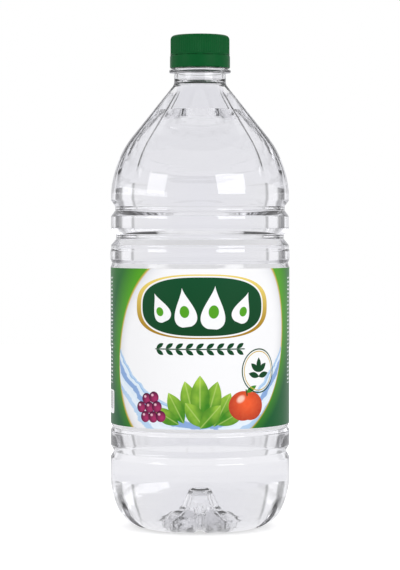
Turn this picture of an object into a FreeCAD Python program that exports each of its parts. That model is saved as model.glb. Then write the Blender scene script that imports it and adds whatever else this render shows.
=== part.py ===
"""A two-litre blow-moulded PET bottle of clear vinegar, with its screw cap, tamper band and wrap-around label.

The origin is the centre of the standing ring, +Z runs up the bottle's axis and the label's front faces -Y.
Each piece is written to parts/NODE.step. All sizes are in millimetres.
"""

import FreeCAD
import Part

import math
import os

# ---- Driving dimensions ----------------------------------------------------------------------------

WALL = 0.45               # blown wall of the body
BODY_R = 53.5             # lower body, and the bands beside the label
PANEL_STEP = 0.2          # how far the label panel lies behind the body
RING_STEP = 0.4           # how far the bands between the upper grooves lie behind the body
SHOULDER_ROUND = 54.0     # radius in the vertical plane where the wall turns into the shoulder
CONE_ANGLE = 38.8         # shoulder cone, degrees from the axis

LABEL_FOOT_Z = 62.3
LABEL_H = 92.6
LABEL_T = 0.15

# Grooves round the body: depth, half of the mouth, half of the floor.
UPPER_GROOVE = (2.5, 4.7, 1.3)
MIDDLE_GROOVE = (3.0, 5.0, 1.3)
PANEL_TOP_GROOVE = (0.9, 2.2, 0.3)
PANEL_FOOT_GROOVE = (1.1, 2.2, 0.3)
LOWER_GROOVE = (2.0, 3.6, 0.3)
MOUTH_ROUND = 1.6         # rounding at a groove's mouth
FLOOR_ROUND = 0.9         # rounding at a groove's floor

# Heights of their centres, and of other features, from the label's top or foot.
SHOULDER_ABOVE = 43.0     # where the shoulder starts to turn in
UPPER_GROOVE_ABOVE = 35.1
MIDDLE_GROOVE_ABOVE = 18.2
BAND_STEP_ABOVE = 11.1    # where the ring bands widen to the body
BAND_STEP_H = 1.5
PANEL_TOP_GROOVE_ABOVE = 2.6
PANEL_FOOT_GROOVE_BELOW = 2.3
LOWER_GROOVE_BELOW = 16.8

HEEL_H = 29.0             # height at which the heel starts to draw in
HEEL_TAPER = 31.0         # degrees from the axis where the heel's two curves meet
STAND_R = 33.0            # outer edge of the flat standing ring
STAND_W = 2.0             # width of the standing ring
PUSH_H = 23.0             # height of the push-up's flat top
PUSH_TOP_R = 4.2
PUSH_KNEE_R = 8.5         # where the push-up turns steeper
PUSH_KNEE_Z = 14.8
PUSH_ROUND = 2.0

FLUTE_TURNS = [60.0, 120.0, 240.0, 300.0]   # the shoulder's flutes, in degrees from the front
FLUTE_R = 150.0           # radius of a flute's nearly flat floor
FLUTE_TOP_DEPTH = 0.3     # at its start, under the neck
FLUTE_DEPTH = 1.9         # at the foot of the cone
FLUTE_START = 1.3         # below the cone's top corner, measured along the axis
FLUTE_END = 6.1           # where a flute runs out, above the start of the shoulder
RIB_TURNS = [0.0, 60.0, 120.0, 180.0, 240.0, 300.0]   # the base's ribs, in degrees from the front
RIB_R = 2.6               # radius of a base rib's round floor
RIB_DEPTH = 1.5           # under the heel
RIB_RISE = 2.0            # above the push-up's cone
RIB_END = 6.0             # where a rib runs out, below the top of the heel
RIB_INNER = 2.0           # inner end of a rib, outside the push-up's knee

NECK_R = 15.4             # neck under the support ring
NECK_WALL = 2.0
NECK_H = 6.8              # from the cone's top corner to the support ring
NECK_ROUND = 5.0
SUPPORT_W = 3.0           # how far the support ring stands out of the neck
SUPPORT_H = 1.8
FINISH_STEP = 0.2         # how far the neck finish inside the cap lies behind the neck
FINISH_H = 20.8           # from the support ring's underside to the lip
BEAD_W = 0.9              # bead that traps the tamper band
BEAD_H = 1.6
BEAD_ABOVE = 6.8          # the bead's centre, above the support ring's underside
LIP_ROUND = 0.5
LEVEL_BELOW = 15.5        # level of the vinegar, below the cone's top corner

CAP_TOP_T = 1.6
CAP_H = 11.8
CAP_WALL = 2.0
CAP_BORE_GAP = 0.4        # between the neck finish and the cap's bore
CAP_TOP_ROUND = 2.6
KNURLS = 80
KNURL_DEPTH = 0.35
KNURL_SHOULDER = 0.7      # plain rim at the knurls' foot
RIM_PROUD = 0.1           # how far that rim stands proud of the knurls

TAMPER_PROUD = 0.3        # how far the tamper band stands proud of the cap
TAMPER_H = 7.3
TAMPER_SLIT = 0.5         # slit between the cap and the band
TAMPER_GAP = 0.3          # between the band and the neck's bead
TAMPER_HOOK_H = 1.4       # inward lip below the bead
TAMPER_HOOK_GAP = 0.35
TAMPER_ROUND = 0.6
BRIDGES = 12
BRIDGE_W = 1.2
BRIDGE_T = 0.6
BRIDGE_INSET = 0.1        # between the band's bore and a bridge

# ---- Sizes that follow from them -------------------------------------------------------------------

PANEL_R = BODY_R - PANEL_STEP
RING_R = BODY_R - RING_STEP
PANEL_TOP_Z = LABEL_FOOT_Z + LABEL_H
SHOULDER_Z = PANEL_TOP_Z + SHOULDER_ABOVE
CORNER_Z = SHOULDER_Z + SHOULDER_ROUND * math.tan(math.radians(CONE_ANGLE) / 2)
CONE_TOP_Z = CORNER_Z + (RING_R - NECK_R) / math.tan(math.radians(CONE_ANGLE))
LEVEL_Z = CONE_TOP_Z - LEVEL_BELOW
SUPPORT_Z = CONE_TOP_Z + NECK_H
SUPPORT_R = NECK_R + SUPPORT_W
NECK_BORE_R = NECK_R - NECK_WALL
FINISH_R = NECK_R - FINISH_STEP
BEAD_R = FINISH_R + BEAD_W
BEAD_Z = SUPPORT_Z + BEAD_ABOVE
LIP_Z = SUPPORT_Z + FINISH_H
CAP_TOP_Z = LIP_Z + CAP_TOP_T
CAP_RIM_Z = CAP_TOP_Z - CAP_H
CAP_R = FINISH_R + CAP_BORE_GAP + CAP_WALL
TAMPER_R = CAP_R + TAMPER_PROUD
TAMPER_TOP_Z = CAP_RIM_Z - TAMPER_SLIT
TAMPER_FOOT_Z = TAMPER_TOP_Z - TAMPER_H

AXIS = FreeCAD.Vector(0, 0, 1)
ORIGIN = FreeCAD.Vector(0, 0, 0)
FULL_TURN = 360.0


# ---- Outline helpers -------------------------------------------------------------------------------

def in_plane(r, z):
    """The point at radius r and height z in the half plane that is turned into a solid."""
    return FreeCAD.Vector(r, 0, z)


def unit(a, b):
    """Unit vector from corner a to corner b, each (r, z, ...)."""
    length = math.hypot(b[0] - a[0], b[1] - a[1])
    return ((b[0] - a[0]) / length, (b[1] - a[1]) / length)


def rounded_wire(corners):
    """A closed wire through (r, z, radius) corners, each rounded by a tangent arc that fits its sides."""
    count = len(corners)
    reach = []
    for i, corner in enumerate(corners):
        back = unit(corner, corners[i - 1])
        ahead = unit(corner, corners[(i + 1) % count])
        cosine = max(-1.0, min(1.0, back[0] * ahead[0] + back[1] * ahead[1]))
        half = math.acos(cosine) / 2
        room = 0.49 * min(math.dist(corner[:2], corners[i - 1][:2]),
                          math.dist(corner[:2], corners[(i + 1) % count][:2]))
        wanted = corner[2] / math.tan(half) if corner[2] else 0.0
        if len(corner) > 3:
            room = corner[3]
        reach.append((min(wanted, room), half, back, ahead))
    edges = []
    last = None
    first = None
    for corner, (run, half, back, ahead) in zip(corners, reach):
        start = in_plane(corner[0] + back[0] * run, corner[1] + back[1] * run)
        end = in_plane(corner[0] + ahead[0] * run, corner[1] + ahead[1] * run)
        if last is not None and last.distanceToPoint(start) > 1e-6:
            edges.append(Part.makeLine(last, start))
        if run > 1e-6:
            mid = (back[0] + ahead[0], back[1] + ahead[1])
            scale = math.hypot(*mid)
            radius = run * math.tan(half)
            out = radius / math.sin(half) - radius
            through = in_plane(corner[0] + mid[0] / scale * out, corner[1] + mid[1] / scale * out)
            edges.append(Part.Arc(start, through, end).toShape())
        first = start if first is None else first
        last = end
    if last.distanceToPoint(first) > 1e-6:
        edges.append(Part.makeLine(last, first))
    return Part.Wire(edges)


def turned(corners):
    """The solid that the closed outline makes when it is turned about the axis."""
    return Part.Face(rounded_wire(corners)).revolve(ORIGIN, AXIS, FULL_TURN)


def groove(radius, centre, spec):
    """Corners, from the top down, of a groove cut into a wall of that radius."""
    depth, mouth, floor = spec
    return [(radius, centre + mouth, MOUTH_ROUND),
            (radius - depth, centre + floor, FLOOR_ROUND),
            (radius - depth, centre - floor, FLOOR_ROUND),
            (radius, centre - mouth, MOUTH_ROUND)]


def inset(corners, distance):
    """The open outline moved inwards by distance, each rounding changed so that the wall keeps its thickness."""
    moved = []
    for i in range(1, len(corners) - 1):
        before, here, after = corners[i - 1], corners[i], corners[i + 1]
        a, b = unit(before, here), unit(here, after)
        turn = a[0] * b[1] - a[1] * b[0]
        normal_a, normal_b = (a[1], -a[0]), (b[1], -b[0])
        share = distance / (1 + normal_a[0] * normal_b[0] + normal_a[1] * normal_b[1])
        radius = here[2] + (distance if turn > 0 else -distance)
        moved.append((here[0] + (normal_a[0] + normal_b[0]) * share,
                      here[1] + (normal_a[1] + normal_b[1]) * share,
                      max(radius, 0.0)))
    return moved


# ---- The bottle's outline --------------------------------------------------------------------------

def heel_corner_z():
    """Height of the heel's upper corner, so that its two curves meet without a straight between them."""
    slope = math.radians(HEEL_TAPER)
    return (HEEL_H + BODY_R - STAND_R) / (1 + math.tan(slope) + 1 / math.cos(slope))


def heel_rounds():
    """The radii of the heel's upper and lower curves."""
    slope = math.radians(HEEL_TAPER)
    corner = heel_corner_z()
    upper = (HEEL_H - corner) / math.tan(slope / 2)
    lower = (BODY_R - corner * math.tan(slope) - STAND_R) / math.tan((math.pi / 2 - slope) / 2)
    return upper, lower


def body_corners():
    """The outside of the body, from the neck down to the middle of the base."""
    heel_z = heel_corner_z()
    heel_foot_r = BODY_R - heel_z * math.tan(math.radians(HEEL_TAPER))
    upper, lower = heel_rounds()
    corners = [(NECK_R, SUPPORT_Z, 0.0), (NECK_R, CONE_TOP_Z, NECK_ROUND), (RING_R, CORNER_Z, SHOULDER_ROUND)]
    corners += groove(RING_R, PANEL_TOP_Z + UPPER_GROOVE_ABOVE, UPPER_GROOVE)
    corners += groove(RING_R, PANEL_TOP_Z + MIDDLE_GROOVE_ABOVE, MIDDLE_GROOVE)
    corners += [(RING_R, PANEL_TOP_Z + BAND_STEP_ABOVE, MOUTH_ROUND),
                (BODY_R, PANEL_TOP_Z + BAND_STEP_ABOVE - BAND_STEP_H, MOUTH_ROUND)]
    top = groove(BODY_R, PANEL_TOP_Z + PANEL_TOP_GROOVE_ABOVE, PANEL_TOP_GROOVE)
    foot = groove(BODY_R, LABEL_FOOT_Z - PANEL_FOOT_GROOVE_BELOW, PANEL_FOOT_GROOVE)
    corners += top[:3] + [(PANEL_R,) + top[3][1:], (PANEL_R,) + foot[0][1:]] + foot[1:]
    corners += groove(BODY_R, LABEL_FOOT_Z - LOWER_GROOVE_BELOW, LOWER_GROOVE)
    corners += [(BODY_R, heel_z, upper), (heel_foot_r, 0.0, lower)]
    corners += [(STAND_R - STAND_W, 0.0, PUSH_ROUND), (PUSH_KNEE_R, PUSH_KNEE_Z, PUSH_ROUND),
                (PUSH_TOP_R, PUSH_H, PUSH_ROUND), (0.0, PUSH_H, 0.0)]
    return corners


def finish_corners():
    """The outside of the neck finish, from the lip down to the underside of the support ring."""
    half = BEAD_H / 2
    return [(FINISH_R, LIP_Z, LIP_ROUND),
            (FINISH_R, BEAD_Z + half + BEAD_W, 0.3), (BEAD_R, BEAD_Z + half, 0.3),
            (BEAD_R, BEAD_Z - half, 0.2), (FINISH_R, BEAD_Z - half, 0.2),
            (FINISH_R, SUPPORT_Z + SUPPORT_H, 0.4),
            (SUPPORT_R, SUPPORT_Z + SUPPORT_H, 0.6), (SUPPORT_R, SUPPORT_Z, 0.9)]


def full_reach(corners, rounds):
    """The outline with the rounding of each large curve kept whole, because those curves meet end to end."""
    kept = []
    for i, corner in enumerate(corners):
        if corner[2] in rounds:
            back, ahead = unit(corner, corners[i - 1]), unit(corner, corners[i + 1])
            half = math.acos(back[0] * ahead[0] + back[1] * ahead[1]) / 2
            corner = corner + (corner[2] / math.tan(half),)
        kept.append(corner)
    return kept


# ---- Cutters for the flutes and ribs ---------------------------------------------------------------

def swept_disc(points, arcs, radius):
    """A round bar along a path in the vertical plane. The path is points[0], then for each step a straight run,
    or an arc about the centre that arcs gives for that step."""
    edges = []
    for i in range(len(points) - 1):
        a, b = points[i], points[i + 1]
        if i in arcs:
            centre = arcs[i]
            size = math.dist(a, centre)
            mid = ((a[0] + b[0]) / 2 - centre[0], (a[1] + b[1]) / 2 - centre[1])
            scale = size / math.hypot(*mid)
            through = in_plane(centre[0] + mid[0] * scale, centre[1] + mid[1] * scale)
            edges.append(Part.Arc(in_plane(*a), through, in_plane(*b)).toShape())
        else:
            edges.append(Part.makeLine(in_plane(*a), in_plane(*b)))
    along = unit(points[0], points[1]) if 0 not in arcs else None
    if along is None:
        centre = arcs[0]
        out = unit(centre, points[0])
        along = (-out[1], out[0])
    section = Part.Wire([Part.makeCircle(radius, in_plane(*points[0]), in_plane(*along))])
    return Part.Wire(edges).makePipeShell([section], True, False)


def beyond(point, centre, distance):
    """The point moved straight away from centre by distance."""
    out = unit(centre, point)
    return (point[0] + out[0] * distance, point[1] + out[1] * distance)


def flute_cutter(grow):
    """One shoulder flute: a straight floor down the cone, then a curve that runs out of the wall."""
    slope = math.radians(CONE_ANGLE)
    start = (NECK_R + FLUTE_START * math.tan(slope) - FLUTE_TOP_DEPTH * math.cos(slope),
             CONE_TOP_Z - FLUTE_START - FLUTE_TOP_DEPTH * math.sin(slope))
    run = SHOULDER_ROUND * math.tan(slope / 2)
    foot = (RING_R - run * math.sin(slope) - FLUTE_DEPTH * math.cos(slope),
            CORNER_Z + run * math.cos(slope) - FLUTE_DEPTH * math.sin(slope))
    end = (RING_R - SHOULDER_ROUND
           + math.sqrt(SHOULDER_ROUND ** 2 - FLUTE_END ** 2), SHOULDER_Z + FLUTE_END)
    along = unit(start, foot)
    inward = (along[1], -along[0])
    chord = (end[0] - foot[0], end[1] - foot[1])
    offset = chord[0] * inward[0] + chord[1] * inward[1]
    curve = (chord[0] ** 2 + chord[1] ** 2) / (2 * offset)
    centre = (foot[0] + inward[0] * curve, foot[1] + inward[1] * curve)
    path = [(start[0] - inward[0] * FLUTE_R, start[1] - inward[1] * FLUTE_R),
            (foot[0] - inward[0] * FLUTE_R, foot[1] - inward[1] * FLUTE_R),
            beyond(end, centre, FLUTE_R)]
    return swept_disc(path, {1: centre}, FLUTE_R + grow)


def rib_cutter(grow):
    """One base rib: a groove up the heel that runs out of the wall, and a round-ended one up the push-up."""
    slope = math.radians(HEEL_TAPER)
    upper, lower = heel_rounds()
    centre = (STAND_R, lower)
    size = lower - RIB_DEPTH
    meet = (centre[0] + size * math.cos(slope), centre[1] - size * math.sin(slope))
    end = (BODY_R - upper + math.sqrt(upper ** 2 - RIB_END ** 2), HEEL_H - RIB_END)
    inward = (-math.cos(slope), math.sin(slope))
    chord = (end[0] - meet[0], end[1] - meet[1])
    offset = chord[0] * inward[0] + chord[1] * inward[1]
    curve = (chord[0] ** 2 + chord[1] ** 2) / (2 * offset)
    second = (meet[0] + inward[0] * curve, meet[1] + inward[1] * curve)
    low = (STAND_R, RIB_DEPTH - RIB_R)
    inner = (STAND_R - 2 * STAND_W, RIB_DEPTH - RIB_R)
    heel = swept_disc([inner, low, beyond(meet, centre, RIB_R), beyond(end, second, RIB_R)],
                      {1: centre, 2: second}, RIB_R + grow)
    top = (PUSH_KNEE_R, PUSH_KNEE_Z)
    foot = (STAND_R - STAND_W, 0.0)
    down = unit(top, foot)
    below = (down[1], -down[0])
    drop = RIB_R - RIB_RISE
    length = math.dist(top, foot)
    starts = RIB_INNER / down[0]
    a = (top[0] + down[0] * starts + below[0] * drop, top[1] + down[1] * starts + below[1] * drop)
    b = (top[0] + down[0] * length + below[0] * drop, top[1] + down[1] * length + below[1] * drop)
    bar = Part.makeCylinder(RIB_R + grow, math.dist(a, b), in_plane(*a), in_plane(*down))
    end_ball = Part.makeSphere(RIB_R + grow, in_plane(*a))
    return heel.fuse([bar, end_ball])


def round_the_axis(shape, turns):
    """Copies of a shape that lies in the plane of +X, one at each turn from the front."""
    copies = []
    for turn in turns:
        copy = shape.copy()
        copy.rotate(ORIGIN, AXIS, turn - 90.0)
        copies.append(copy)
    return copies


def even_turns(count):
    """The turns, in degrees, that space a number of copies evenly."""
    return [i * FULL_TURN / count for i in range(count)]


def moulded(corners, grow):
    """A turned solid with the flutes and ribs taken out of it, each wider by grow."""
    solid = turned(corners)
    cutters = round_the_axis(flute_cutter(grow), FLUTE_TURNS) + round_the_axis(rib_cutter(grow), RIB_TURNS)
    return solid.cut(cutters)


# ---- The pieces ------------------------------------------------------------------------------------

def outside_solid():
    """The bottle as if it were solid."""
    upper, lower = heel_rounds()
    corners = finish_corners() + full_reach(body_corners(), (SHOULDER_ROUND, upper, lower))
    return moulded(corners + [(0.0, LIP_Z, 0.0)], 0.0)


def inside_solid():
    """The space inside the bottle, up to the lip."""
    upper, lower = heel_rounds()
    outline = body_corners()
    outline[0] = (NECK_R, LIP_Z, 0.0)
    corners = inset(outline, WALL)
    slope = math.tan(math.radians(CONE_ANGLE))
    neck_z = corners[0][1] + (corners[0][0] - NECK_BORE_R) / slope
    corners[0] = (NECK_BORE_R, neck_z, NECK_ROUND + WALL)
    corners = full_reach(corners + [(0.0, PUSH_H + WALL, 0.0)],
                         (SHOULDER_ROUND - WALL, upper - WALL, lower - WALL))
    return moulded([(NECK_BORE_R, LIP_Z, 0.0)] + corners + [(0.0, LIP_Z, 0.0)], WALL)


def hollowed(outside, inside):
    """The outside with the inside taken out of it, checked because a cut that fails can leave the bottle full."""
    wall = outside.cut(inside)
    if wall.Volume > outside.Volume - 0.99 * inside.Volume:
        raise RuntimeError("the bottle wasn't hollowed out")
    return wall


def below_level(solid, level):
    """The part of a solid under a height."""
    size = 2 * BODY_R + 2.0
    room = Part.makeBox(size, size, CAP_TOP_Z, FreeCAD.Vector(-size / 2, -size / 2, level))
    return solid.cut(room)


def cap():
    """The screw cap: a knurled skirt with a plain rim, closed by a flat top with a rounded edge."""
    bore = FINISH_R + CAP_BORE_GAP
    rim_r = CAP_R + RIM_PROUD
    knurl_foot = CAP_RIM_Z + KNURL_SHOULDER
    body = turned([(bore, CAP_RIM_Z, 0.0), (rim_r, CAP_RIM_Z, 0.15), (rim_r, knurl_foot, 0.1),
                   (CAP_R, knurl_foot, 0.0), (CAP_R, CAP_TOP_Z, CAP_TOP_ROUND),
                   (0.0, CAP_TOP_Z, 0.0), (0.0, LIP_Z, 0.0), (bore, LIP_Z, 0.3)])
    pitch = 2 * math.pi * CAP_R / KNURLS
    cut_r = ((pitch / 4) ** 2 + KNURL_DEPTH ** 2) / (2 * KNURL_DEPTH)
    height = CAP_TOP_Z - knurl_foot
    tool = Part.makeCylinder(cut_r, height, FreeCAD.Vector(CAP_R - KNURL_DEPTH + cut_r, 0, knurl_foot))
    return body.cut(round_the_axis(tool, even_turns(KNURLS)))


def tamper_band():
    """The tamper band under the cap, trapped below the neck's bead, with its bridges up to the cap."""
    bore = BEAD_R + TAMPER_GAP
    hook = FINISH_R + TAMPER_HOOK_GAP
    hook_z = TAMPER_FOOT_Z + TAMPER_HOOK_H
    ring = turned([(hook, TAMPER_FOOT_Z, 0.2), (TAMPER_R, TAMPER_FOOT_Z, TAMPER_ROUND),
                   (TAMPER_R, TAMPER_TOP_Z, 0.4), (bore, TAMPER_TOP_Z, 0.0), (bore, hook_z, 0.0),
                   (hook, hook_z, 0.2)])
    block = Part.makeBox(BRIDGE_T, BRIDGE_W, TAMPER_SLIT,
                         FreeCAD.Vector(bore + BRIDGE_INSET, -BRIDGE_W / 2, TAMPER_TOP_Z))
    return ring.fuse(round_the_axis(block, even_turns(BRIDGES)))


def label():
    """The wrap-around label on its panel."""
    return turned([(PANEL_R, LABEL_FOOT_Z, 0.0), (PANEL_R + LABEL_T, LABEL_FOOT_Z, 0.0),
                   (PANEL_R + LABEL_T, PANEL_TOP_Z, 0.0), (PANEL_R, PANEL_TOP_Z, 0.0)])


def main():
    os.makedirs("parts", exist_ok=True)
    inside = inside_solid()
    pieces = {
        "bottle": hollowed(outside_solid(), inside),
        "vinegar": below_level(inside, LEVEL_Z),
        "cap": cap(),
        "tamper_band": tamper_band(),
        "label": label(),
    }
    for name, shape in pieces.items():
        solids = shape.Solids
        if len(solids) != 1 or not solids[0].isValid():
            raise RuntimeError(f"{name} has {len(solids)} solids, or one that isn't valid")
        solids[0].exportStep(os.path.join("parts", name + ".step"))
        box = solids[0].BoundBox
        print(f"{name}: {solids[0].Volume / 1000:.2f} ml, z {box.ZMin:.2f} to {box.ZMax:.2f}, "
              f"width {box.XLength:.2f}")


main()
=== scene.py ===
"""The looks of a clear plastic vinegar bottle: moulded wall, contents, screw cap and printed label.

Laid out as an add-on and run as a script. Lengths are in metres; the axis is on Z and the front on -Y.
"""

import math

import bmesh
import bpy
from bpy.props import FloatProperty, FloatVectorProperty, IntProperty, PointerProperty
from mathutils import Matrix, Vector


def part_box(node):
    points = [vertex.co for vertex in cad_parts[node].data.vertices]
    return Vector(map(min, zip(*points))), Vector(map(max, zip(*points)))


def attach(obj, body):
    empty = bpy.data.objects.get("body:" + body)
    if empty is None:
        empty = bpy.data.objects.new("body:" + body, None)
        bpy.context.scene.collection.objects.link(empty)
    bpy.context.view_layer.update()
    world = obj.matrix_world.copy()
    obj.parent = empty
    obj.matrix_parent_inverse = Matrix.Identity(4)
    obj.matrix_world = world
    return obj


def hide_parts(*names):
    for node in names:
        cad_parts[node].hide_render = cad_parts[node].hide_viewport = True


bl_info = {
    "name": "Vinegar Bottle",
    "version": (1, 0, 0),
    "blender": (4, 5, 0),
    "location": "3D View > Sidebar > Bottle",
    "description": "Builds a clear plastic bottle of vinegar piece by piece",
    "category": "Add Mesh",
}

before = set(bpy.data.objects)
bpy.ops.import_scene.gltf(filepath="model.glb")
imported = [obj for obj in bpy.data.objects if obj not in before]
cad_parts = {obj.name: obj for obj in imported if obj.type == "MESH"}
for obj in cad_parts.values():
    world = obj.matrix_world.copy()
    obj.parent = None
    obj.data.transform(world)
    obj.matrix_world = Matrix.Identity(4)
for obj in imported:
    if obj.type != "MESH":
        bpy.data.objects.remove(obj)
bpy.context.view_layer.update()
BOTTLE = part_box("bottle")
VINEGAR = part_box("vinegar")
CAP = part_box("cap")
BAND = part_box("tamper_band")
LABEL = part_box("label")

MM = 0.001
BODY_R = BOTTLE[1].x
LABEL_R = LABEL[1].x
CAP_RIM_R = CAP[1].x
BAND_R = BAND[1].x
TINY = 1e-6

FLUTE_TURNS = (60.0, 120.0)         # middles of the flutes, in degrees from the front to either side
FLUTE_START = 1.3 * MM              # below the cone's top
FLUTE_END = 6.1 * MM                # above the start of the shoulder
FLUTE_TOP_DEPTH = 0.5 * MM
BLOWN_NECK_H = 6.0 * MM             # where the blown wall ends, above the cone's top
BORE_DROP = 5.0 * MM                # where the bore opens into the blown wall, below the cone's top
STAND_WIDTH = 2.0 * MM
PUSH_KNEE = (8.5 * MM, 14.8 * MM)   # radius and height at which the push-up turns steeper
PUSH_TOP_R = 4.2 * MM
PUSH_ROUND = 2.0 * MM
RIB_START_R = 9.5 * MM
RIB_END_Z = 23.0 * MM


# ---- Settings a user would change ------------------------------------------------------------------

class BottleSizes(bpy.types.PropertyGroup):
    wall: FloatProperty(name="Wall", description="Thickness of the blown wall", default=0.45 * MM,
                        unit="LENGTH")
    base_wall: FloatProperty(name="Base wall", description="Thickness of the wall in the middle of the base",
                             default=1.9 * MM, unit="LENGTH")
    slices: IntProperty(name="Slices", description="Faces round the bottle", default=216)
    ring_step: FloatProperty(name="Ring step", description="Bands between the upper grooves lie this far in",
                             default=0.4 * MM, unit="LENGTH")
    panel_step: FloatProperty(name="Panel step", description="The label's panel lies this far in",
                              default=0.2 * MM, unit="LENGTH")
    cone_angle: FloatProperty(name="Cone angle", description="Slope of the shoulder from the axis",
                              default=math.radians(38.8), subtype="ANGLE")
    shoulder_round: FloatProperty(name="Shoulder round", description="Radius where wall and cone meet",
                                  default=54.0 * MM, unit="LENGTH")
    shoulder_above: FloatProperty(name="Shoulder height", description="Start of the shoulder above the label",
                                  default=43.0 * MM, unit="LENGTH")
    neck_r: FloatProperty(name="Neck", description="Radius of the neck", default=15.4 * MM, unit="LENGTH")
    neck_wall: FloatProperty(name="Neck wall", description="Thickness of the neck", default=2.0 * MM,
                             unit="LENGTH")
    support_r: FloatProperty(name="Support ring", description="Radius of the ring under the cap",
                             default=18.4 * MM, unit="LENGTH")
    flute_depth: FloatProperty(name="Flute depth", description="Deepest point of the shoulder's flutes",
                               default=2.1 * MM, unit="LENGTH")
    flute_floor: FloatProperty(name="Flute floor", description="Radius of a flute's hollow",
                               default=150.0 * MM, unit="LENGTH")
    rib_depth: FloatProperty(name="Rib depth", description="Depth of the base's radial ribs",
                             default=1.6 * MM, unit="LENGTH")
    rib_width: FloatProperty(name="Rib width", description="Half width of a rib", default=3.2 * MM,
                             unit="LENGTH")
    heel_h: FloatProperty(name="Heel", description="Height at which the heel draws in", default=29.0 * MM,
                          unit="LENGTH")
    heel_taper: FloatProperty(name="Heel taper", description="Slope where the heel's two curves meet",
                              default=math.radians(31.0), subtype="ANGLE")
    stand_r: FloatProperty(name="Standing ring", description="Outer radius of the standing ring",
                           default=33.0 * MM, unit="LENGTH")
    knurls: IntProperty(name="Knurls", description="Fine ribs round the cap", default=80)
    knurl_depth: FloatProperty(name="Knurl depth", description="Depth between the cap's knurls",
                               default=0.3 * MM, unit="LENGTH")
    rim_proud: FloatProperty(name="Cap rim", description="How far the cap's plain rim stands out",
                             default=0.1 * MM, unit="LENGTH")
    slit: FloatProperty(name="Slit", description="Slit between the cap and its tamper band", default=0.5 * MM,
                        unit="LENGTH")
    bridges: IntProperty(name="Bridges", description="Small bridges across the slit", default=12)
    push_h: FloatProperty(name="Push-up", description="Height of the raised middle of the base",
                          default=23.0 * MM, unit="LENGTH")


class BottleColours(bpy.types.PropertyGroup):
    clear: FloatVectorProperty(name="Clear plastic", description="Tint of the wall", subtype="COLOR", size=3,
                               default=(0.985, 0.985, 0.99))
    vinegar: FloatVectorProperty(name="Vinegar", description="Tint of the contents", subtype="COLOR", size=3,
                                 default=(0.985, 0.985, 0.992))
    cap: FloatVectorProperty(name="Cap", description="Green of the cap", subtype="COLOR", size=3,
                             default=(0.0, 0.088, 0.018))
    dark_green: FloatVectorProperty(name="Dark green", description="Plaque and lines of the label",
                                    subtype="COLOR", size=3, default=(0.0, 0.055, 0.013))
    side_green: FloatVectorProperty(name="Side green", description="Deep green of the label's sides",
                                    subtype="COLOR", size=3, default=(0.002, 0.1, 0.022))
    spring_green: FloatVectorProperty(name="Spring green", description="Light green of the sides and leaves",
                                      subtype="COLOR", size=3, default=(0.085, 0.36, 0.012))
    gold: FloatVectorProperty(name="Gold", description="Gold edges of the label", subtype="COLOR", size=3,
                              default=(0.62, 0.42, 0.05))
    paper: FloatVectorProperty(name="White", description="White of the label", subtype="COLOR", size=3,
                               default=(0.95, 0.95, 0.955))


# ---- Working helpers -------------------------------------------------------------------------------

def fresh(operator, **options):
    """A new object from a primitive, with nothing else selected, in vertex edit mode."""
    if bpy.context.object and bpy.context.object.mode != "OBJECT":
        bpy.ops.object.mode_set(mode="OBJECT")
    bpy.ops.object.select_all(action="DESELECT")
    operator(**options)
    bpy.ops.object.mode_set(mode="EDIT")
    bpy.ops.mesh.select_mode(type="VERT")
    return bpy.context.object


def pick(obj, kind, test):
    """Selects only the verts, edges or faces of the edited mesh that pass the test."""
    mesh = bmesh.from_edit_mesh(obj.data)
    for group in (mesh.verts, mesh.edges, mesh.faces):
        for item in group:
            item.select = False
    for item in getattr(mesh, kind):
        if test(item):
            item.select_set(True)
    bmesh.update_edit_mesh(obj.data)


def done(obj, name, crease, *materials):
    """Leaves edit mode, names the piece, shades it smooth up to the crease angle and adds its materials."""
    bpy.ops.object.mode_set(mode="OBJECT")
    obj.name = name
    obj.data.name = name
    only(obj)
    bpy.ops.object.shade_smooth_by_angle(angle=math.radians(crease))
    for material in materials:
        obj.data.materials.append(material)


def face_outward():
    """Turns every normal of the edited mesh outward."""
    bpy.ops.mesh.select_all(action="SELECT")
    bpy.ops.mesh.normals_make_consistent(inside=False)


def only(obj):
    """Makes obj the one selected and active object."""
    bpy.ops.object.select_all(action="DESELECT")
    obj.select_set(True)
    bpy.context.view_layer.objects.active = obj


def apply_modifier(obj, kind, **values):
    """Adds a modifier, sets its values and applies it."""
    only(obj)
    modifier = obj.modifiers.new(kind.title(), kind)
    for key, value in values.items():
        setattr(modifier, key, value)
    bpy.ops.object.modifier_apply(modifier=modifier.name)


def outline(corners):
    """An edited wire in the plane of +X that runs through the (r, z, round, ...) corners."""
    obj = fresh(bpy.ops.mesh.primitive_plane_add, size=MM)
    bpy.ops.mesh.merge(type="CENTER")
    bpy.ops.transform.translate(value=(corners[0][0], 0, corners[0][1]))
    for before, after in zip(corners, corners[1:]):
        step = (after[0] - before[0], 0, after[1] - before[1])
        bpy.ops.mesh.extrude_region_move(TRANSFORM_OT_translate={"value": step})
    return obj


def between(a, b):
    """Unit vector from corner a to corner b."""
    return Vector((b[0] - a[0], b[1] - a[1])).normalized()


def reach_of(corners, i):
    """How far along its sides the rounding of corner i runs."""
    back, ahead = between(corners[i], corners[i - 1]), between(corners[i], corners[i + 1])
    half = back.angle(ahead) / 2
    wanted = corners[i][2] / math.tan(half)
    room = min(math.dist(corners[i][:2], corners[j][:2]) for j in (i - 1, i + 1))
    return min(wanted, 0.998 * room if corners[i][2] > 5 * MM else 0.49 * room)


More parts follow.
